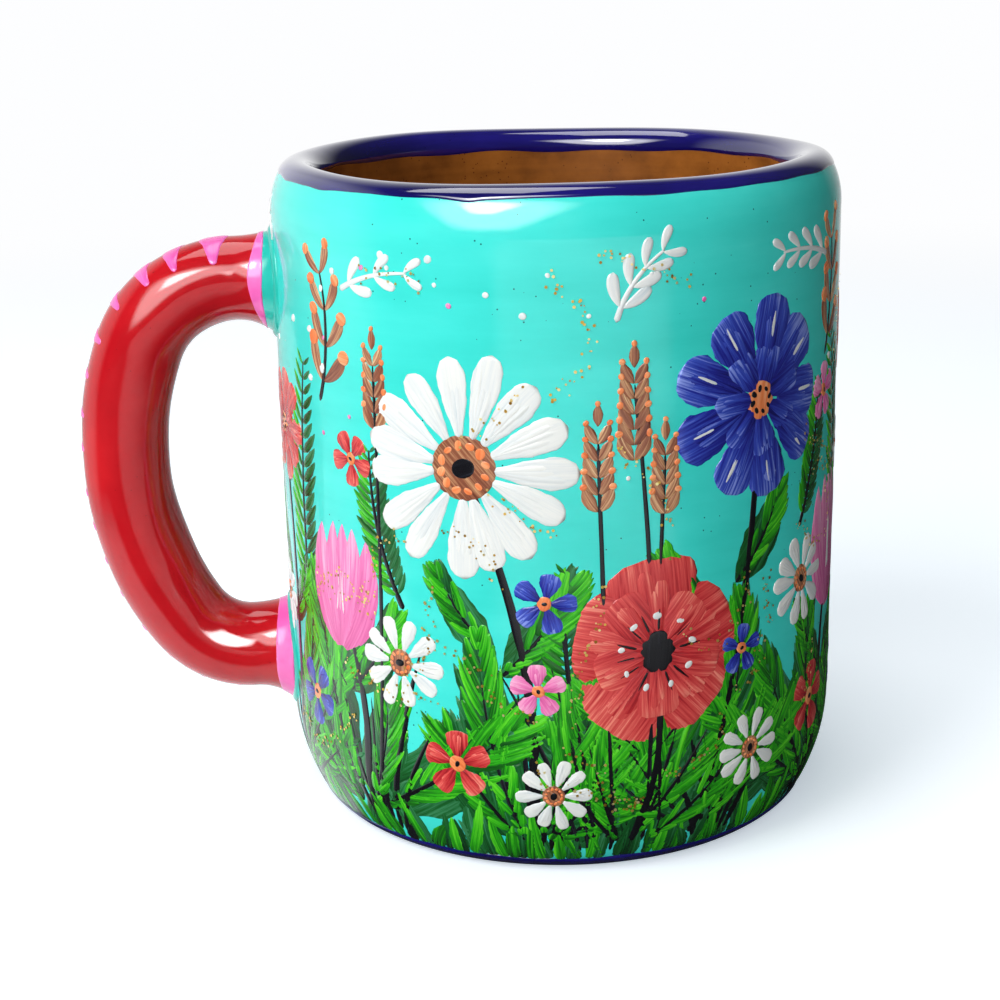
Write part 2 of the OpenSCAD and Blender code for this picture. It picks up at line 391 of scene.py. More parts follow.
class Paint:
    """Strokes of one colour, made into one piece."""

    def __init__(self, name, material, level, surface):
        self.name, self.material, self.level, self.surface = name, material, level, surface
        self.verts, self.brush, self.streak, self.faces = [], [], [], []
        self.count = self.used = 0

    def ribbon(self, path, half, cols=7, top=0.12, ragged=0.0):
        """A stroke along a path of (across the wall, up) points, with its half width at each point."""
        seed = RNG.random()
        t = np.linspace(0, 1, len(path))[:, None]
        v = np.sin(np.linspace(-QUARTER, QUARTER, cols))[None, :]
        tangent = np.gradient(path, axis=0)
        tangent /= np.maximum(np.linalg.norm(tangent, axis=1, keepdims=True), 1e-9)
        side = np.stack([-tangent[:, 1], tangent[:, 0]], -1)

        def frayed(a, b, c, d):
            return 1 + ragged * (np.sin(a * t + b * seed) + 0.7 * np.sin(c * t + d * seed))

        across = np.where(v > 0, frayed(17, 40, 41, 90), frayed(19, 70, 37, 10)) * half[:, None] * v
        flat = path[:, None, :] + side[:, None, :] * across[:, :, None]
        edge = np.sqrt(1 - v ** 4)
        ends = np.sqrt(1 - (2 * t - 1) ** 8)
        comb = RIDGE * np.sin(v * 9 + 30 * seed + 0.6 * np.sin(5 * t))
        layer = self.level + LAYER_STEP * (self.count % LAYERS)
        height = (layer + top + comb + EDGE_SINK) * edge * ends - EDGE_SINK
        points = self.surface(flat[..., 0], flat[..., 1], height)
        brush = np.stack(np.broadcast_arrays(t, v, seed), -1)
        streak = np.stack(np.broadcast_arrays(run(path)[:, None] + 97 * seed, across, 50 * seed), -1)
        for kept, values in ((self.verts, points), (self.brush, brush), (self.streak, streak)):
            kept += [values[1:-1].reshape(-1, 3), values[[0, -1], cols // 2]]
        self.close(len(path) - 2, cols)
        self.count += 1

    def close(self, rows, cols):
        """Faces of the last stroke: its top, a plain underside from edge to edge, and a point at each end."""
        first = self.used
        start = first + rows * cols
        stop = start + 1
        last = start - cols
        self.faces += grid_faces(rows, cols, first)
        for j in range(cols - 1):
            self.faces += [(start, first + j, first + j + 1), (last + j, stop, last + j + 1)]
        edges = [[first + i * cols, first + i * cols + cols - 1] for i in range(rows)]
        edges = [[start], *edges, [stop]]
        self.faces += [near + far[::-1] for near, far in zip(edges, edges[1:])]
        self.used = stop + 1

    def make(self, slot, *nodes):
        attributes = {"brush": np.concatenate(self.brush), "streak": np.concatenate(self.streak)}
        obj = mesh_object(self.name, np.concatenate(self.verts), self.faces, self.material, attributes)
        return dress(obj, slot, *nodes)


def on_wall(x, z, height):
    """A place on the painted wall: x is the distance round it from the handle, towards the camera's side."""
    return cup_point(outer_at(z), x / CUP_R, COAT + PAINT_RELIEF * height)


def on_back(x, turn_mm, height):
    """A place on the painted handle: x is the length along its back, turn_mm the distance round it."""
    return handle_point(np.interp(x, H_BACK, H_L), turn_mm / HANDLE_R, COAT + height)


def arc_path(start, angle, length, bend=0.0, rows=14):
    """A path that leaves a point at an angle in degrees and turns by bend degrees over its length."""
    a = np.radians(angle + bend * np.linspace(0, 1, rows))
    mid = (a[1:] + a[:-1]) / 2
    steps = np.stack([np.cos(mid), np.sin(mid)], -1) * length / (rows - 1)
    return np.concatenate([[start], np.asarray(start, float) + np.cumsum(steps, axis=0)])


def comma(rows, width, fat=0.3):
    """Half widths of a comma stroke: fat where the brush lands, thin where it lifts."""
    t = np.linspace(0, 1, rows)
    lift = np.cos((t - fat) / (1 - fat) * QUARTER) ** 0.8
    return np.maximum(np.where(t < fat, rounded(t / fat), lift) * width / 2, POINT)


def leaf(rows, width, fat=0.42):
    """Half widths of a leaf or petal, pointed at both ends."""
    t = np.linspace(0, 1, rows)
    u = np.where(t < fat, t / fat, (1 - t) / (1 - fat))
    return np.maximum(np.sin(u * QUARTER) ** 0.85 * width / 2, POINT)


def spoon(rows, width):
    """Half widths of a petal that widens from a narrow neck to a round end."""
    neck, shoulder = 0.22, 0.72
    t = np.linspace(0, 1, rows)
    swell = neck + (1 - neck) * np.sin(np.clip(t / shoulder, 0, 1) * QUARTER) ** 1.3
    round_end = np.sqrt(1 - np.clip((t - shoulder) / (1 - shoulder), 0, 1) ** 2)
    return np.maximum(swell * round_end * width / 2, PETAL_END)


# Materials

def srgb(r, g, b):
    """A colour as a screen counts it, 0 to 255, as the nodes take it."""
    shares = [c / 255 for c in (r, g, b)]
    return tuple(s / 12.92 if s <= 0.04045 else ((s + 0.055) / 1.055) ** 2.4 for s in shares) + (1.0,)


def shades(*marks):
    """Stops of a ramp, each from a place and a screen colour."""
    return [(place, srgb(*colour)) for place, *colour in marks]


def greys(*marks):
    """Stops of a ramp of plain values, each from a place and a value."""
    return [(place, (value, value, value, 1)) for place, value in marks]


class Nodes:
    """Short calls for building the nodes of a material, a lamp or the world."""

    def __init__(self, data, output="OutputMaterial"):
        self.data = data
        data.use_nodes = True
        self.tree = data.node_tree
        self.tree.nodes.clear()
        self.out = self.add(output)

    def add(self, kind, inputs=None, **settings):
        """A new node with its settings. An input takes a value, or a link from another node's output."""
        node = self.tree.nodes.new("ShaderNode" + kind)
        for key, value in settings.items():
            setattr(node, key, value)
        for key, value in (inputs or {}).items():
            if isinstance(value, bpy.types.NodeSocket):
                self.tree.links.new(value, node.inputs[key])
            else:
                node.inputs[key].default_value = value
        return node

    def show(self, shader):
        self.tree.links.new(shader.outputs[0], self.out.inputs["Surface"])

    def math(self, operation, *values):
        return self.add("Math", dict(enumerate(values)), operation=operation).outputs[0]

    def vector(self, operation, *values):
        return self.add("VectorMath", dict(enumerate(values)), operation=operation).outputs

    def object_coords(self):
        return self.add("TexCoord").outputs["Object"]

    def attribute(self, name):
        return self.add("Attribute", attribute_name=name).outputs["Vector"]

    def split(self, vector):
        return self.add("SeparateXYZ", {0: vector}).outputs

    def scaled(self, vector, *scale):
        return self.add("Mapping", {"Vector": vector, "Scale": scale}).outputs[0]

    def noise(self, vector, scale, detail=3.0, rough=0.55):
        inputs = {"Vector": vector, "Scale": scale, "Detail": detail, "Roughness": rough}
        return self.add("TexNoise", inputs).outputs["Fac"]

    def ramp(self, factor, stops):
        node = self.add("ValToRGB", {"Fac": factor})
        elements = node.color_ramp.elements
        while len(elements) < len(stops):
            elements.new(0.5)
        for element, (place, colour) in zip(elements, stops):
            element.position = place
            element.color = colour
        return node.outputs["Color"]

    def mix(self, factor, a, b):
        return self.add("Mix", {0: factor, 6: a, 7: b}, data_type="RGBA").outputs[2]

    def step(self, value, low, high):
        """A smooth step from 0 at low to 1 at high."""
        inputs = {"Value": value, "From Min": low, "From Max": high}
        return self.add("MapRange", inputs, interpolation_type="SMOOTHSTEP").outputs[0]

    def facing(self, vector, direction, low, high):
        """1 where a vector points along a direction, falling to 0 away from it."""
        return self.step(self.vector("DOT_PRODUCT", vector, direction)["Value"], low, high)

    def highest(self, first, *others):
        for other in others:
            first = self.math("MAXIMUM", first, other)
        return first

    def rays(self):
        """1 for rays from the camera, 1 for mirrored rays, and 1 for all other rays."""
        path = self.add("LightPath").outputs
        camera_ray = path["Is Camera Ray"]
        mirrored = self.math("MAXIMUM", path["Is Glossy Ray"], path["Is Transmission Ray"])
        return camera_ray, mirrored, self.math("SUBTRACT", 1.0, self.math("MAXIMUM", camera_ray, mirrored))

    def bump(self, height, distance, strength=1.0):
        inputs = {"Height": height, "Distance": distance, "Strength": strength}
        return self.add("Bump", inputs).outputs["Normal"]

    def finish(self, colour, rough, normal=None, coat=0.0, metal=0.0):
        inputs = {"Base Color": colour, "Roughness": rough, "Metallic": metal}
        inputs |= {"Coat Weight": coat, "Coat Roughness": 0.03}
        if normal is not None:
            inputs["Normal"] = normal
        self.show(self.add("BsdfPrincipled", inputs))
        return self.data


def new_material(name):
    return Nodes(bpy.data.materials.new(name))


def specks(n, coords, scale, size):
    """Small round specks in loose patches, 1 at a speck and 0 elsewhere."""
    cells = n.add("TexVoronoi", {"Vector": coords, "Scale": scale}, feature="F1")
    patches = n.math("GREATER_THAN", n.noise(coords, scale / 6, 2.0, 0.5), 0.52)
    return n.math("LESS_THAN", cells.outputs["Distance"], n.math("MULTIPLY", patches, size))


def clay_material():
    n = new_material("fired_clay")
    c = n.object_coords()
    grain = n.noise(c, 900, 5)
    colour = n.ramp(n.noise(c, 160, 4), shades((0.3, 158, 88, 50), (0.7, 196, 118, 74)))
    colour = n.mix(specks(n, c, 1400, 0.16), colour, srgb(90, 50, 32))
    return n.finish(colour, n.ramp(grain, greys((0.2, 0.62), (0.8, 0.85))), n.bump(grain, 0.0001))


def coat_material(name, dark, plain, light, speck, streak, speck_size=0.07, varnish=0.0):
    """Paint under varnish on a whole piece: broad brush bands, faint clouds and fine specks."""
    n = new_material(name)
    c = n.object_coords()
    bands = n.noise(n.scaled(c, *streak), 1.0, 5)
    mixed = n.math("MULTIPLY_ADD", bands, 0.55, n.math("MULTIPLY", n.noise(c, 45, 3), 0.45))
    colour = n.ramp(mixed, shades((0.34, *dark), (0.5, *plain), (0.66, *light)))
    colour = n.mix(specks(n, c, 620, speck_size), colour, srgb(*speck))
    gloss = n.ramp(n.noise(c, 260, 3), greys((0.3, 0.049), (0.75, 0.112)))
    height = n.math("MULTIPLY_ADD", bands, 0.18, n.noise(c, 110, 2))
    return n.finish(colour, gloss, n.bump(height, 0.00012, 0.5), varnish)


def stroke_material(name, marks, grain, along=0.0, tone=0.2):
    """Brushed paint: streaks run along each stroke, and each stroke has a tone of its own."""
    n = new_material(name)
    brush = n.split(n.attribute("brush"))
    lines = n.attribute("streak")
    streaks = n.noise(n.scaled(lines, 0.10, HAIRS, 1.0), 1.0, 5, 0.65)
    broad = n.noise(n.scaled(lines, 0.05, HAIRS * 0.3, 1.0), 1.0, 2)
    value = 0.5
    for source, share in ((streaks, grain * 2.2), (broad, grain), (brush["X"], along), (brush["Z"], tone)):
        value = n.math("MULTIPLY_ADD", n.math("SUBTRACT", source, 0.5), share, value)
    gloss = n.ramp(streaks, greys((0.2, 0.112), (0.8, 0.24)))
    return n.finish(n.ramp(value, shades(*marks)), gloss, n.bump(streaks, 0.00006, 0.5))


def glaze_material():
    """Honey-brown glaze over clay: mottled, fine specks, darker towards the floor."""
    n = new_material("honey_glaze")
    c = n.object_coords()
    deep = n.math("MULTIPLY_ADD", n.split(c)["Z"], 6.0, -0.45)
    rings = n.math("MULTIPLY_ADD", n.noise(n.scaled(c, 20, 20, 420), 1.0, 3), 0.35, -0.35)
    mottle = n.math("MULTIPLY_ADD", n.noise(c, 120, 5, 0.6), 0.8, rings)
    browns = shades((0.1, 104, 57, 21), (0.45, 163, 97, 37), (0.85, 200, 128, 52))
    colour = n.ramp(n.math("ADD", mottle, deep), browns)
    colour = n.mix(specks(n, c, 1300, 0.15), colour, srgb(92, 46, 18))
    waves = n.noise(n.scaled(c, 30, 30, 500), 1.0, 3)
    return n.finish(colour, 0.22, n.bump(waves, 0.00012, 0.6))


def glitter_material():
    n = new_material("gold_glitter")
    golds = shades((0.0, 150, 108, 30), (0.5, 230, 188, 80), (1.0, 255, 240, 170))
    return n.finish(n.ramp(n.split(n.attribute("brush"))["Z"], golds), 0.28, metal=0.7)


CLAY = clay_material()
GLAZE = glaze_material()
GOLD = glitter_material()

# Coats: dark, plain and light tone, colour of the specks, and how close the brush bands lie along each axis
TURQUOISE = coat_material(
    "turquoise_paint", (56, 219, 207), (66, 228, 217), (80, 236, 225), (12, 80, 80), streak=(24, 24, 170))
# The slip is the wall's turquoise made darker: painted shade where the handle's ends meet the wall.
SLIP = coat_material(
    "turquoise_slip", (30, 164, 152), (40, 182, 168), (62, 202, 188), (12, 74, 74), streak=(120, 120, 120))
COBALT = coat_material(
    "cobalt_paint", (13, 10, 76), (20, 15, 98), (32, 25, 124), (6, 4, 44),
    streak=(25, 25, 260), speck_size=0.05, varnish=1.0)
RED = coat_material(
    "red_paint", (172, 14, 24), (187, 19, 29), (201, 27, 35), (120, 10, 16),
    streak=(90, 160, 90), speck_size=0.05)
COLLAR_PINK = coat_material(
    "collar_pink", (230, 84, 168), (246, 104, 186), (255, 136, 202), (190, 40, 110),
    streak=(90, 90, 90), speck_size=0.05)

# Brushed paints: places along the range of tones with their colours
PINK = stroke_material(
    "pink_paint", [(0.1, 226, 76, 160), (0.5, 246, 104, 186), (0.9, 255, 150, 208)], grain=0.35)
GREEN = stroke_material(
    "leaf_green", [(0.08, 14, 70, 22), (0.32, 24, 112, 22), (0.55, 44, 176, 22), (0.85, 96, 220, 40)],
    grain=0.8, along=0.25, tone=0.3)
DARK_GREEN = stroke_material(
    "shade_green", [(0.1, 10, 46, 24), (0.5, 22, 96, 40), (0.85, 60, 140, 92)],
    grain=0.7, along=0.2, tone=0.3)
BLACK = stroke_material(
    "black_paint", [(0.1, 10, 10, 14), (0.6, 20, 20, 26), (0.95, 48, 52, 66)], grain=0.5)
WHITE = stroke_material(
    "white_paint", [(0.05, 204, 216, 220), (0.35, 228, 233, 233), (0.75, 240, 242, 238)],
    grain=0.7, along=0.3, tone=0.15)
BLUE = stroke_material(
    "blue_paint", [(0.08, 18, 18, 92), (0.4, 34, 40, 150), (0.7, 58, 82, 196), (0.95, 140, 160, 236)],
    grain=0.7, along=0.5)
CORAL = stroke_material(
    "coral_paint", [(0.08, 120, 18, 28), (0.4, 196, 44, 50), (0.7, 226, 84, 80), (0.95, 250, 150, 130)],
    grain=0.7, along=0.45)
ROSE = stroke_material(
    "rose_paint", [(0.08, 206, 66, 140), (0.5, 240, 122, 186), (0.9, 255, 190, 222)], grain=0.6, along=0.4)
BROWN = stroke_material(
    "brown_paint", [(0.1, 104, 54, 42), (0.45, 152, 92, 66), (0.7, 206, 156, 112), (0.95, 250, 228, 188)],
    grain=0.75)
ORANGE = stroke_material(
    "orange_paint", [(0.1, 222, 96, 44), (0.5, 248, 140, 82), (0.9, 255, 192, 140)], grain=0.6, along=0.2)


# Cup

RIM_WAVE = seeded_wave(3, (3, 5, 9, 14, 23), 0.3)
RIM_IN_WAVE = seeded_wave(5, (2, 3, 5, 8, 13), 0.5)
FOOT_WAVE = seeded_wave(8, (4, 9, 15, 26), 0.25)
DRIPS = [(between(0, TAU), between(0.1, 0.4), between(0.03, 0.08)) for _ in range(14)]


def rim_edge(theta):
    """The rim band's lower edge outside, with a few small drips."""
    edge = outer_at(CUP_H - RIM_OUT) + RIM_WAVE(theta)
    for place, drop, width in DRIPS:
        apart = (theta - place + math.pi) % TAU - math.pi
        edge = edge - drop * np.exp(-(apart / width) ** 2)
    return edge


inside = (SEC_L > AXIS_GAP) & (SEC_L < SEC_END)
clay_lengths = np.concatenate([[AXIS_GAP], SEC_L[inside][::5], [SEC_END]])
dress(solid("cup_clay", cup_point(clay_lengths, full_turn(144)[:, None], 0.0), CLAY), "clay", "cup")
dress(coat("ground_coat", cup_point, shifted(outer_at(FOOT_BAND_TOP - FOOT_LAP), FOOT_WAVE),
           constant(outer_at(CUP_H - RIM_OUT + RIM_LAP)), COAT, TURQUOISE, around=288, steps=90),
      "turquoise", "ground_coat")
dress(coat("rim_band", cup_point, rim_edge, shifted(inner_at(CUP_H - RIM_IN), RIM_IN_WAVE),
           COAT + RIM_OVER, COBALT, around=432, steps=48, edge=0.6), "cobalt", "rim_band")
dress(coat("foot_band", cup_point, shifted(outer_at(FOOT_BARE), FOOT_WAVE),
           shifted(outer_at(FOOT_BAND_TOP), FOOT_WAVE), COAT + FOOT_OVER, COBALT, around=300, steps=24),
      "cobalt", "foot_band")
dress(coat("liner_glaze", cup_point, constant(inner_at(CUP_H - RIM_IN + LINER_LAP)), constant(SEC_END),
           COAT, GLAZE, around=216, steps=72, capped=True), "liner", "liner_glaze")


# Handle

def slip_pad(name, z, root_r, seed):
    """The saddle of slip under a root: level where the handle sits, rounded down to the wall outside."""
    margin, slope, over, sink = 1.15, 0.13, 0.10, 0.05
    phi = full_turn(96)[:, None]
    rings = np.array([[1.0, 0.99, 0.975, 0.95, 0.92, 0.88, 0.82, 0.7, 0.4, 0.08]])
    full = (root_r + FLARE + margin + seeded_wave(seed, (2, 3, 5, 8), 0.22)(phi)) * rings
    up = z - FLARE * FLARE_DROP + full * np.cos(phi)
    theta = -np.arcsin(full * np.sin(phi) / CUP_R)
    top = cup_point(outer_at(up), theta, (SLIP_T + over) * rounded((1 - rings) / slope))
    return shell(name, top, cup_point(outer_at(up), theta, -sink), SLIP, capped=True)


def brushed(place, sides, seed, top=0.0):
    """A painted edge round the handle, further along it on the sides than on the back and inside."""
    wave = seeded_wave(seed, (2, 3, 5, 7), 0.12)
    return lambda turn: place + sides * np.sin(turn) ** 2 + top * np.cos(turn) + wave(turn)


# How far slip and collar stay from the handle's sunk ends, how far the slip stops short of the collar's edge,
# and how much thinner than a coat it is
END_GAP = 0.4
LAP_SHORT = 1.0
LAP_THIN = 0.05
handle_rows = handle_point(np.linspace(0, H_END, 100), full_turn(HANDLE_AROUND)[:, None], 0.0)
dress(slip_pad("upper_slip_joint", TOP_Z, HANDLE_TOP_R, seed=21), "slip", "upper_slip_joint")
dress(slip_pad("lower_slip_joint", LOW_Z, HANDLE_R, seed=22), "slip", "lower_slip_joint")
dress(solid("handle_clay", handle_rows, CLAY, flip=True), "clay", "handle")
handle_coat = sleeve("handle_coat", constant(H_COLLAR - COLLAR_LAP), constant(H_END - H_COLLAR + COLLAR_LAP),
                     COAT, RED, steps=150)
dress(handle_coat, "red", "handle_coat")
dress(sleeve("upper_slip_lap", constant(END_GAP), constant(H_COLLAR - LAP_SHORT),
             COAT - LAP_THIN, SLIP, steps=24), "slip")
dress(sleeve("upper_collar", brushed(1.85, sides=0.35, seed=33), brushed(2.65, sides=1.9, seed=31, top=0.3),
             COAT + COLLAR_OVER, COLLAR_PINK, steps=30), "pink", "upper_collar")
dress(sleeve("lower_collar", brushed(H_END - 2.8, sides=-0.5, seed=32), constant(H_END - END_GAP),
             COAT + COLLAR_OVER, COLLAR_PINK, steps=30), "pink", "lower_collar")


def paint_handle():
    """Strokes across the handle's back, pointed at both ends, that drift towards one side on the way down."""
    strokes = Paint("handle_strokes", PINK, 0.0, on_back)
    first = np.interp(ROOT_SINK + ROOT_LEN, H_L, H_BACK)
    last = np.interp(H_END - ROOT_SINK - ROOT_LEN, H_L, H_BACK)
    span = np.linspace(-1, 1, 33)
    t = np.abs(span)
    blunt = np.sqrt(1 - np.clip((t - 0.9) / 0.1, 0, 1) ** 2)
    for i in range(STROKES):
        down = (i + 0.5) / STROKES
        place = first + down * (last - first) + between(-0.4, 0.4)
        middle = -math.radians(STROKE_DRIFT) * (1 - (1 - down) ** DRIFT_POWER)
        reach = math.radians(STROKE_REACH) * between(1.08, 1.22)
        lean = between(-0.5, 0.5)
        path = np.stack([place + lean * span, (middle + reach * span) * HANDLE_R], -1)
        width = STROKE_W * (1.25 if i == 0 else between(0.85, 1.1))
        half = np.maximum(width / 2 * (1 - 0.8 * t) * blunt, POINT)
        strokes.ribbon(path, half, cols=9, top=STROKE_T * 0.7, ragged=0.04)
    strokes.make("pink", "handle_strokes")


paint_handle()


# Painted garden round the wall, in layers from the ground up. A motif's parts are shares of its size.

def wall_paint(name, material, level):
    return Paint("painted_" + name, material, level, on_wall)


shade_leaves = wall_paint("shade_leaves", DARK_GREEN, level=0.0)
leaves = wall_paint("leaves", GREEN, level=0.05)
stems = wall_paint("stems", BLACK, level=0.06)
buds = wall_paint("buds", BROWN, level=0.12)
tips = wall_paint("bud_tips", ORANGE, level=0.20)
blue = wall_paint("blue_petals", BLUE, level=0.18)
coral = wall_paint("coral_petals", CORAL, level=0.18)
rose = wall_paint("rose_petals", ROSE, level=0.18)
lines = wall_paint("lines", BLACK, level=0.28)
white = wall_paint("white_strokes", WHITE, level=0.22)


def stroke(paint, start, angle, length, bend, shape, width, rows=14, cols=5, top=0.12, ragged=0.0, **fat):
    """One stroke along an arc, with the half widths of a shape."""
    path = arc_path(start, angle, length, bend, rows)
    paint.ribbon(path, shape(rows, width, **fat), cols, top, ragged)
    return path


def dot(paint, x, z, size, top=0.16):
    rows, cols = (11, 7) if size < 2 else (19, 11)
    around = np.linspace(0, math.pi, rows)
    across = -np.cos(around) * size / 2
    half = np.maximum(np.sin(around) * size / 2, DOT_END)
    turn = between(0, math.pi)
    path = np.stack([x + across * math.cos(turn), z + across * math.sin(turn)], -1)
    paint.ribbon(path, half * between(0.9, 1.05), cols, top, ragged=0.015)


def ring_of_dots(paint, x, z, size, count, radius, width, top):
    for i in range(count):
        a = TAU * i / count + 0.2
        r = size * radius
        dot(paint, x + r * math.cos(a), z + r * math.sin(a), size * width * between(0.8, 1.15), top)


def petals(paint, x, z, size, count, inner, length, width, turn=0.0, shape=spoon, top=0.13):
    """A ring of petals. Each wide one has a few brush marks along it."""
    for i in range(count):
        a = turn + 360 / count * i + between(-4, 4)
        start = np.array([x, z]) + size * inner * heading(a)
        long = size * length * between(0.93, 1.07)
        bend = between(-8, 8)
        wide = size * width * between(0.92, 1.08)
        stroke(paint, start, a, long, bend, shape, wide, rows=18, cols=9, top=top, ragged=0.035)
        for k in (-0.26, 0.02, 0.28) if size * width > 2 else ():
            mark = long * between(0.66, 0.95)
            narrow = wide * between(0.22, 0.34)
            stroke(paint, start, a + k * 26, mark, bend - k * 12, shape, narrow, top=top + 0.05, ragged=0.08)


def daisy(x, z, size, paint):
    count, width = (15, 0.145) if size > 20 else (10, 0.19)
    petals(paint, x, z, size, count, 0.13, 0.38, width)
    dot(buds, x, z, size * 0.3, top=0.24)
    ring_of_dots(tips, x, z, size, 12, 0.105, 0.05, top=0.22)
    dot(lines, x, z, size * 0.11, top=0.2)


def rosette(x, z, size, paint):
    petals(paint, x, z, size, 9, 0.12, 0.40, 0.27)
    petals(paint, x, z, size, 7, 0.05, 0.26, 0.2, turn=20, top=0.2)
    petals(white if paint is blue else coral, x, z, size, 9, 0.30, 0.16, 0.9 / size, shape=comma)
    dot(tips, x, z, size * 0.2, top=0.24)
    ring_of_dots(lines, x, z, size, 8, 0.06, 0.035, top=0.28)


def poppy(x, z, size, paint):
    petals(paint, x, z, size, 5, 0.04, 0.46, 0.5, turn=90)
    petals(paint, x, z, size, 5, 0.06, 0.32, 0.3, turn=126, top=0.2)
    dot(lines, x, z, size * 0.24)
    petals(lines, x, z, size, 14, 0.11, 0.14, 0.55 / size, turn=8, shape=comma)
    ring_of_dots(white, x, z, size, 9, 0.2, 0.045, top=0.24)


def bloom(x, z, size, paint):
    petals(paint, x, z, size, 5, 0.08, 0.42, 0.36, turn=between(0, 72))
    dot(tips, x, z, size * 0.24, top=0.24)
    dot(lines, x, z, size * 0.09, top=0.28)


def tulip(x, z, size, paint):
    lean = between(82, 98)
    for a, wide in ((-34, 0.34), (34, 0.34), (-14, 0.32), (14, 0.32), (0, 0.30)):
        stroke(paint, (x, z - size / 2), lean + a * 1.1, size, -a * 1.3, leaf, size * wide,
               rows=20, cols=9, top=0.13, ragged=0.03, fat=0.36)
    for a in (-20, 0, 20):
        start = (x + a * 0.05, z - size * 0.25)
        stroke(white, start, lean + a * 0.6, size * 0.45, -a, comma, 0.8, rows=12)


def stem(x0, z0, x1, z1, sway, width=1.7):
    t = np.linspace(0, 1, 34)
    path = np.stack([x0 + (x1 - x0) * t + sway * np.sin(math.pi * t), z0 + (z1 - z0) * t], -1)
    stems.ribbon(path, width / 2 * (1.15 - 0.55 * t), ragged=0.05)


def broad_leaf(x, z, angle, length, width, bend):
    """A leaf brushed from its vein to its edge: shade under it, light marks over it."""
    rows = 30
    vein = arc_path((x, z), angle, length, bend, rows)
    half = leaf(rows, width)
    shade_leaves.ribbon(vein, half, cols=9, top=0.10, ragged=0.05)
    marks = int(length / 1.3)
    light_side = RNG.choice((-1, 1))
    for k in range(1, marks):
        t = k / marks
        i = min(rows - 2, int(t * (rows - 1)))
        for side in (-1, 1):
            spread = 34 - 12 * t
            long = half[i] / math.sin(math.radians(spread)) * between(0.82, 1.14)
            paint = leaves if RNG.random() < (0.92 if side == light_side else 0.5) else shade_leaves
            turn = angle + bend * t + side * spread
            stroke(paint, vein[i], turn, long, -side * 18, comma, between(1.2, 2.1),
                   rows=8, ragged=0.08, fat=0.4)
    stems.ribbon(vein[:26], comma(26, 0.9, fat=0.1), cols=5, top=0.10)


def sprig(x, z, angle, length, bend, count, paint, size):
    """A thin stem with comma strokes in pairs: white ones, or buds with orange tips."""
    path = arc_path((x, z), angle, length, bend, 24)
    (white if paint is white else stems).ribbon(path, np.linspace(0.5, 0.2, 24), cols=5)
    for i in range(count):
        k = int(4 + 18 * i / max(1, count - 1))
        for side in (-1, 1):
            long = size * (1.1 - 0.4 * i / count)
            mark = arc_path(path[k], angle + bend * k / 23 + side * 52, long, -side * 36)
            paint.ribbon(mark[::-1], comma(14, long * 0.36), top=0.14)
            if paint is buds:
                dot(tips, *mark[-1], long * 0.34, top=0.18)


def ear(x, z, height, width):
    """A tall ear of seeds on a thin stem, each seed a brown and cream stroke with an orange tip."""
    stem(x + between(-3, 3), 4.0, x, z + height * 0.7, between(-2, 2), width=0.9)
    pairs = int(height / 2.6)
    for i in range(pairs + 1):
        for side in ((-1, 1) if i < pairs else (0,)):
            long = width * (1.05 - 0.25 * i / pairs)
            start = (x, z + height * 0.8 * i / pairs)
            seed = stroke(buds, start, 90 - side * 44, long, side * 30, leaf, long * 0.46,
                          cols=7, top=0.13, ragged=0.03, fat=0.5)
            dot(tips, *seed[-1], long * 0.26, top=0.18)


def fern(x, z, angle, length, bend, size):
    """A frond of narrow leaflets, bright on one side and dark on the other."""
    rows = 40
    path = arc_path((x, z), angle, length, bend, rows)
    stems.ribbon(path, np.linspace(0.55, 0.2, rows), cols=5, top=0.1)
    for k in range(4, rows, 2):
        long = size * math.sin(math.pi * (0.15 + 0.8 * k / rows)) ** 0.7
        for side, paint in ((-1, shade_leaves), (1, leaves)):
            turn = angle + bend * k / (rows - 1) + side * 58
            reach = long * between(0.85, 1.1)
            stroke(paint, path[k], turn, reach, -side * 24, leaf, long * 0.3, rows=12, ragged=0.05)


def grass(x, height):
    """Thin dark blades that fan out from one root."""
    count, spread = 6, 9
    for i in range(count):
        u = (i + 0.5) / count * 2 - 1
        long = height * between(0.65, 1.1)
        stroke(stems, (x + u * spread * 0.35, 3.0), 90 - u * 16 + between(-4, 4), long, -u * 22, comma,
               between(0.9, 1.5), rows=20, top=0.08, ragged=0.06, fat=0.2)


def ground():
    """Short strokes along the foot: black, dark green and bright green, in no order."""
    count = 190
    for i in range(count):
        x = TAU * CUP_R * i / count + between(-0.6, 0.6)
        tone = RNG.random()
        paint = stems if tone < 0.08 else shade_leaves if tone < 0.54 else leaves
        stroke(paint, (x, FOOT_BAND_TOP - FOOT_LAP), 90 + between(-24, 24), between(5, 12), between(-24, 24),
               comma, between(1.8, 3.0), cols=7, top=0.1, ragged=0.07)


def bed(root, x, z, kind, paint, size):
    """A flower on its stem, with a fan of leaves at its root, two on the stem, and grass."""
    stem(root, 4.0, x, z, between(-4, 4))
    for lean in RNG.sample([-58, -40, -22, 24, 42, 60], 5):
        foot = between(5, 9)
        length = between(24, 42) - abs(lean) * 0.16
        width = between(9, 12.5)
        bend = between(10, 34) * (1 if lean > 0 else -1)
        broad_leaf(root + lean * 0.05, foot, 90 - lean, length, width, bend)
    for side in (-1, 1):
        t = between(0.45, 0.6)
        length, width = between(13, 19), between(5.5, 7.5)
        broad_leaf(root + (x - root) * t, 4 + (z - 4) * t, 90 - side * 48, length, width, side * 26)
    grass(root + between(-5, 5), between(22, 40))
    kind(x, z, size, paint)


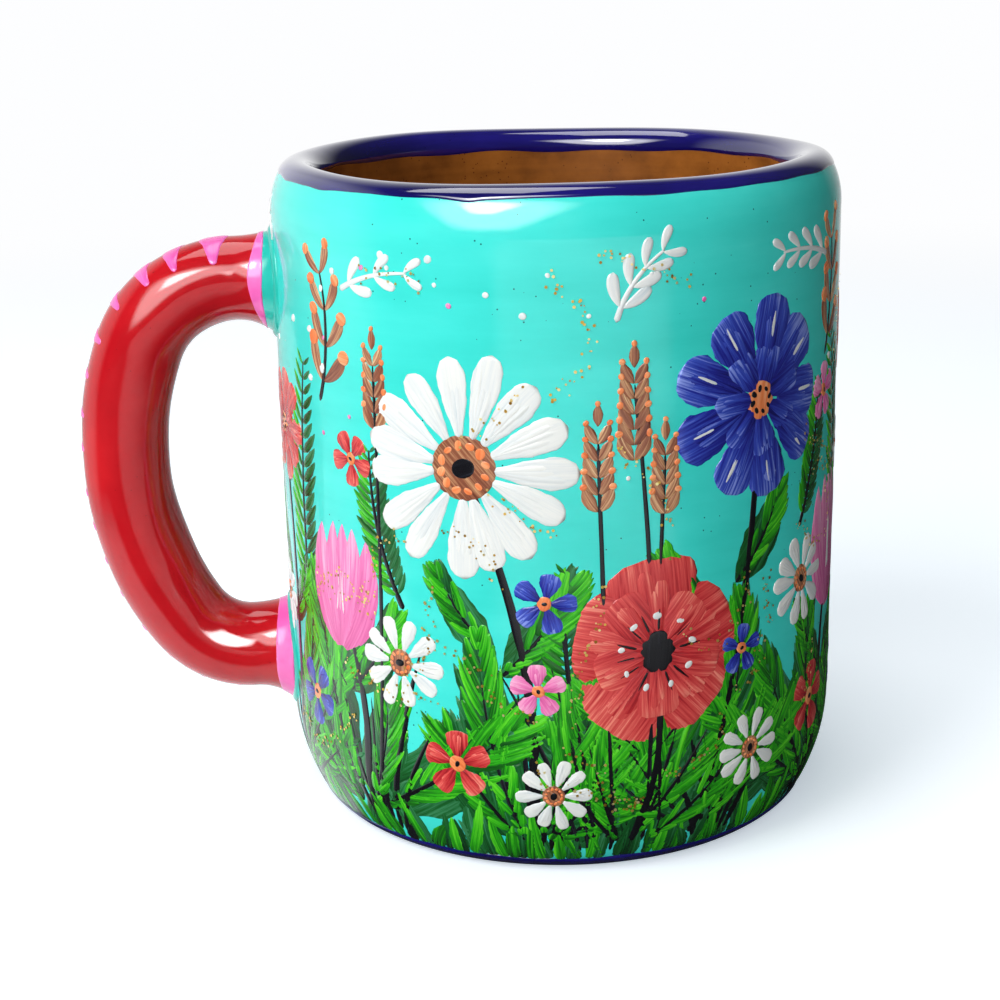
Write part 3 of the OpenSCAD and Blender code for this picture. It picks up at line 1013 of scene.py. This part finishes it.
# Beds: root, then the flower's place, kind, colour and size; the first five face the camera
BEDS = [
    (59, 50, 62, daisy, white, 31), (83, 94, 69, rosette, blue, 28), (73, 77, 35, poppy, coral, 27),
    (112, 117, 43, tulip, rose, 22), (31, 27, 41, tulip, rose, 20), (10, 9, 62, rosette, coral, 17),
    (143, 139, 45, tulip, blue, 20), (166, 158, 68, rosette, rose, 27), (171, 178, 33, poppy, coral, 25),
    (190, 196, 64, daisy, white, 29), (207, 219, 38, rosette, blue, 26), (239, 234, 66, poppy, coral, 25),
    (247, 252, 38, daisy, white, 24), (128, 132, 74, poppy, coral, 18),
]
# Small flowers: place, size, kind and colour
SMALL_FLOWERS = [
    (105, 40, 14, daisy, white), (39, 32, 14, daisy, white), (62, 14, 11, daisy, white),
    (93, 17, 12, daisy, white), (61, 43, 9, bloom, blue), (19, 22, 11, bloom, blue),
    (112, 67, 9, bloom, rose), (91, 33, 8, bloom, blue), (48, 18, 11, bloom, coral),
    (109, 20, 12, bloom, coral), (31, 61, 8, bloom, coral), (60, 30, 8, bloom, rose),
    (150, 28, 13, daisy, white), (186, 15, 11, daisy, white), (160, 42, 9, bloom, blue),
    (206, 21, 11, bloom, coral), (219, 62, 9, bloom, rose), (230, 26, 12, bloom, blue),
    (263, 20, 11, bloom, rose), (177, 55, 9, bloom, blue), (256, 64, 9, bloom, coral),
    (128, 20, 12, bloom, blue), (125, 56, 8, daisy, white), (5, 34, 12, daisy, white),
]
# Ears: place, height and width
EARS = [
    (68.5, 56, 15, 4.0), (73.5, 63, 16, 4.2), (78, 55, 13, 3.8), (36, 66, 14, 3.8), (151, 74, 13, 3.8),
    (181, 48, 15, 4.0), (208, 56, 15, 4.0), (213, 63, 14, 3.8), (246, 60, 15, 4.0), (268, 50, 15, 4.0),
]
# Ferns: place, angle, length, bend and the size of a leaflet
FERNS = [
    (120, 30, 84, 46, 24, 7), (104, 48, 60, 22, 30, 5), (40, 40, 118, 24, -30, 5),
    (18, 30, 96, 44, -16, 6.5), (66, 22, 104, 26, -20, 5.5), (155, 30, 80, 34, 24, 6),
    (184, 22, 70, 26, 30, 5.5), (224, 36, 76, 34, 24, 6), (260, 30, 100, 36, -24, 6),
]
# Sprigs: place, angle, length, bend, pairs of strokes, colour and size of a stroke
SPRIGS = [
    (24, 68, 66, 20, 40, 4, buds, 6.0), (71, 82, 76, 12, -44, 4, white, 4.6),
    (112, 72, 66, 18, 34, 4, buds, 6.0), (112, 87, 160, 14, 24, 4, white, 4.4),
    (30, 85, 30, 13, -30, 3, white, 4.2), (146, 86, 30, 14, -40, 4, white, 4.6),
    (182, 82, 128, 13, 40, 4, white, 4.4), (226, 84, 40, 14, -40, 4, white, 4.4),
    (254, 76, 80, 16, 30, 4, buds, 5.6), (3, 82, 70, 11, 40, 3, white, 4.2),
]


def paint_garden():
    for row in BEDS:
        bed(*row)
    for x, z, size, kind, paint in SMALL_FLOWERS:
        kind(x, z, size, paint)
    for motif, rows in ((ear, EARS), (fern, FERNS), (sprig, SPRIGS)):
        for row in rows:
            motif(*row)
    ground()
    for _ in range(110):
        x, z = between(2, 268), between(60, 91)
        if all(math.hypot(x - row[1], z - row[2]) > row[5] / 2 + 2 for row in BEDS):
            dot(RNG.choice((white, white, white, rose)), x, z, between(0.6, 1.2), top=0.1)
    for paint in (shade_leaves, leaves, stems, buds, tips, blue, coral, rose, lines, white):
        paint.make("turquoise")


paint_garden()


# Gold glitter in loose trails

def glitter():
    """Thin six-sided flakes, scattered along trails that wander over the wall from a starting place."""
    sides, step, scatter, height, thick = 6, 0.5, 0.6, 0.44, 0.09
    verts, faces, brush = [], [], []
    trails = [(34, 88), (82, 88), (96, 44), (58, 74), (108, 56)]
    trails += [(30, 22), (70, 46), (46, 36), (88, 24), (118, 70)]
    trails += [(between(10, 260), between(18, 88)) for _ in range(28)]
    for x, z in trails:
        a = between(0, TAU)
        for _ in range(RNG.randint(20, 44)):
            a += between(-0.35, 0.35)
            x += step * math.cos(a)
            z = min(91, max(12, z + step * math.sin(a)))
            px, pz = x + RNG.gauss(0, scatter), z + RNG.gauss(0, scatter)
            size, spin, tone = between(0.10, 0.25), between(0, TAU), RNG.random()
            tilt = between(-0.05, 0.05)
            first = len(verts)
            b = spin + full_turn(sides)
            for base in (height, height - thick):
                verts.extend(on_wall(px + size * np.cos(b), pz + size * np.sin(b), base + tilt * np.cos(b)))
            brush += [(0, 0, tone)] * 2 * sides
            upper = [first + k for k in range(sides)]
            lower = [k + sides for k in upper]
            faces += [upper, lower[::-1]]
            faces += [(upper[k - 1], lower[k - 1], lower[k], upper[k]) for k in range(sides)]
    return mesh_object("gold_glitter", verts, faces, GOLD, {"brush": brush}, smooth=False)


dress(glitter(), "turquoise")


# Floor, light and camera

# Where reflections see white: the direction from the mug, and where its soft edge begins and ends. On the
# table this white is a painted reflection, which only reflections see; the camera sees all the table white.
BACK_REFLECTION = ((-0.22, 1.0, 0.0), 0.4, 1.1)
LEFT_REFLECTION = ((-0.80, 0.60, 0.0), 0.60, 0.85)
FRONT_REFLECTION = ((0.087, -0.996, 0.0), 0.80, 0.90)
BESIDE_HANDLE_REFLECTION = ((-0.94, 0.34, 0.0), 0.60, 0.74)
PAPER_WHITE = (0.985, 0.99, 1.0, 1)

# The side of the table under the handle, which throws more light back up than the rest
UNDER_HANDLE = ((-1.0, 0.0, 0.0), 0.3, 0.8)
LEAST_BOUNCE = 0.55

# Distances from the mug in metres: where the painted reflections in front and beside the handle begin and are
# full, and where the table turns into plain white
FRONT_REACH = (0.06, 0.2)
BESIDE_REACH = (0.24, 0.13)
TABLE_FADE = (0.19, 0.65)
TABLE_SIZE = 8000.0
TABLE_TONE = (0.90, 0.91, 0.92, 1)

# The table's glow close to the mug, and the least that reflections and other rays see of table and room. The
# dim table in reflections is painted shade.
TABLE_LIFT = 0.48
LIFT_TONE = (0.88, 1.0, 1.1, 1)
DIM_TABLE_REFLECTION = 0.06
DIM_ROOM = 0.05
ROOM_LIGHT = 0.07


def floor():
    """A white table. Reflections see it white in some directions and dim elsewhere: painted reflection and
    painted shade.
    """
    n = new_material("white_table")
    coords = n.object_coords()
    far = n.vector("LENGTH", coords)["Value"]
    way = n.vector("NORMALIZE", coords)["Vector"]
    camera_ray, mirrored, other = n.rays()
    # Reflections of the table are painted: white in front, beside the handle, behind and to the left, and dim
    # elsewhere.
    front = n.math("MULTIPLY", n.facing(way, *FRONT_REFLECTION), n.step(far, *FRONT_REACH))
    beside = n.math("MULTIPLY", n.facing(way, *BESIDE_HANDLE_REFLECTION), n.step(far, *BESIDE_REACH))
    reflected_white = n.highest(DIM_TABLE_REFLECTION, n.facing(way, *BACK_REFLECTION), n.facing(way, *LEFT_REFLECTION), front, beside)
    seen = n.math("MAXIMUM", camera_ray, n.math("MULTIPLY", mirrored, reflected_white))
    side = n.math("MULTIPLY_ADD", n.facing(way, *UNDER_HANDLE), 1 - LEAST_BOUNCE, LEAST_BOUNCE)
    share = n.math("MAXIMUM", seen, n.math("MULTIPLY", other, side))
    matt = n.add("BsdfDiffuse", {"Color": n.mix(share, (0, 0, 0, 1), TABLE_TONE)})
    # Beside the handle the table also glows for reflections: a painted reflection in the handle.
    glow = n.highest(camera_ray, n.math("MULTIPLY", mirrored, beside))
    lift = n.add("Emission", {"Color": LIFT_TONE, "Strength": n.math("MULTIPLY", glow, TABLE_LIFT)})
    near = n.add("AddShader", {0: matt.outputs[0], 1: lift.outputs[0]})
    plain = n.add("Emission", {"Color": PAPER_WHITE})
    fade = n.math("MULTIPLY", n.step(far, *TABLE_FADE), seen)
    n.show(n.add("MixShader", {0: fade, 1: near.outputs[0], 2: plain.outputs[0]}))
    corners = [(x * TABLE_SIZE, y * TABLE_SIZE, 0) for x, y in ((-1, -1), (1, -1), (1, 1), (-1, 1))]
    mesh_object("table", corners, [(0, 1, 2, 3)], n.data)


def world():
    """White to the camera. Reflections see paper behind the mug and to its left, and a dim room elsewhere."""
    n = Nodes(bpy.data.worlds.new("studio"), "OutputWorld")
    bpy.context.scene.world = n.data
    way = n.add("TexCoord").outputs["Generated"]
    camera_ray, mirrored, other = n.rays()
    reflected_white = n.highest(DIM_ROOM, n.facing(way, *BACK_REFLECTION), n.facing(way, *LEFT_REFLECTION))
    room = n.math("MULTIPLY", other, ROOM_LIGHT)
    strength = n.highest(camera_ray, n.math("MULTIPLY", mirrored, reflected_white), room)
    n.show(n.add("Background", {"Color": PAPER_WHITE, "Strength": strength}))


def axes(back):
    """The axes to the right and up of a level lamp or camera that looks away from a direction."""
    right = np.cross([0, 0, 1.0], back)
    right /= np.linalg.norm(right)
    return right, np.cross(back, right)


def place(obj, eye, right, up, back):
    """Puts a lamp or camera at a place in millimetres, along its axes."""
    rows = [(right[k], up[k], back[k], eye[k] * MM) for k in range(3)]
    obj.matrix_world = Matrix(rows + [(0, 0, 0, 1)])
    bpy.context.scene.collection.objects.link(obj)


def soften(lamp):
    """Lets a lamp fade from its middle to its edges, and narrow towards its foot."""
    foot, gain = 0.35, 32.0
    n = Nodes(lamp, "OutputLight")
    spot = n.split(n.add("NewGeometry").outputs["Parametric"])
    up = spot["Y"]
    wide = n.math("MULTIPLY_ADD", up, 1 - foot, foot)
    across = n.math("ADD", n.math("DIVIDE", n.math("SUBTRACT", spot["X"], 0.5), wide), 0.5)
    u, v = (n.math("MAXIMUM", n.math("MULTIPLY", k, n.math("SUBTRACT", 1.0, k)), 0.0) for k in (across, up))
    strength = n.math("MINIMUM", n.math("MULTIPLY", n.math("MULTIPLY", u, v), gain), 1.0)
    n.show(n.add("Emission", {"Strength": strength}))


def softbox(name, at, size, power, lights=True, shines=True, only=()):
    """A soft lamp aimed at the mug's middle. It lights pieces, shines in them, or both."""
    lamp = bpy.data.lights.new(name, "AREA")
    lamp.shape = "RECTANGLE"
    lamp.size = size[0] * MM
    lamp.size_y = size[1] * MM
    lamp.energy = power
    if not lights:
        soften(lamp)
    obj = bpy.data.objects.new(name, lamp)
    obj.visible_diffuse = lights
    obj.visible_glossy = shines
    back = np.array(at, float) - [0, 0, CUP_H / 2]
    back /= np.linalg.norm(back)
    place(obj, at, *axes(back), back)
    if only:
        reach = bpy.data.collections.new(name + "_reach")
        for piece in only:
            reach.objects.link(piece)
        obj.light_linking.receiver_collection = reach


def camera():
    """The photograph's view: the eye in millimetres, and turns in radians from a level look along +Y."""
    eye = (-30.19, -287.19, 130.93)
    yaw, pitch, roll = 0.0727, 0.2882, -0.0195
    back = -np.array([math.sin(yaw) * math.cos(pitch), math.cos(yaw) * math.cos(pitch), -math.sin(pitch)])
    right, up = axes(back)
    c, s = math.cos(roll), math.sin(roll)
    data = bpy.data.cameras.new("camera")
    data.lens = 68.06
    data.sensor_width = 36.0
    data.clip_start = 0.01
    data.clip_end = 50.0
    obj = bpy.data.objects.new("camera", data)
    place(obj, eye, c * right + s * up, c * up - s * right, back)
    bpy.context.scene.camera = obj


floor()
world()
softbox("window", (-395, -745, 410), (960, 600), 5.8, shines=False)
softbox("left", (-520, -360, 680), (420, 420), 3.4, shines=False)
softbox("window_sheen", (-415, -655, 520), (1180, 700), 18.0, lights=False)
softbox("pane", (-420, -590, 620), (460, 260), 7.0, lights=False)
softbox("low_pane", (120, -730, 255), (570, 540), 30.0, lights=False, only=[handle_coat])
softbox("top", (-150, 150, 900), (500, 500), 2.8)
camera()
bpy.context.scene.view_settings.view_transform = "Standard"
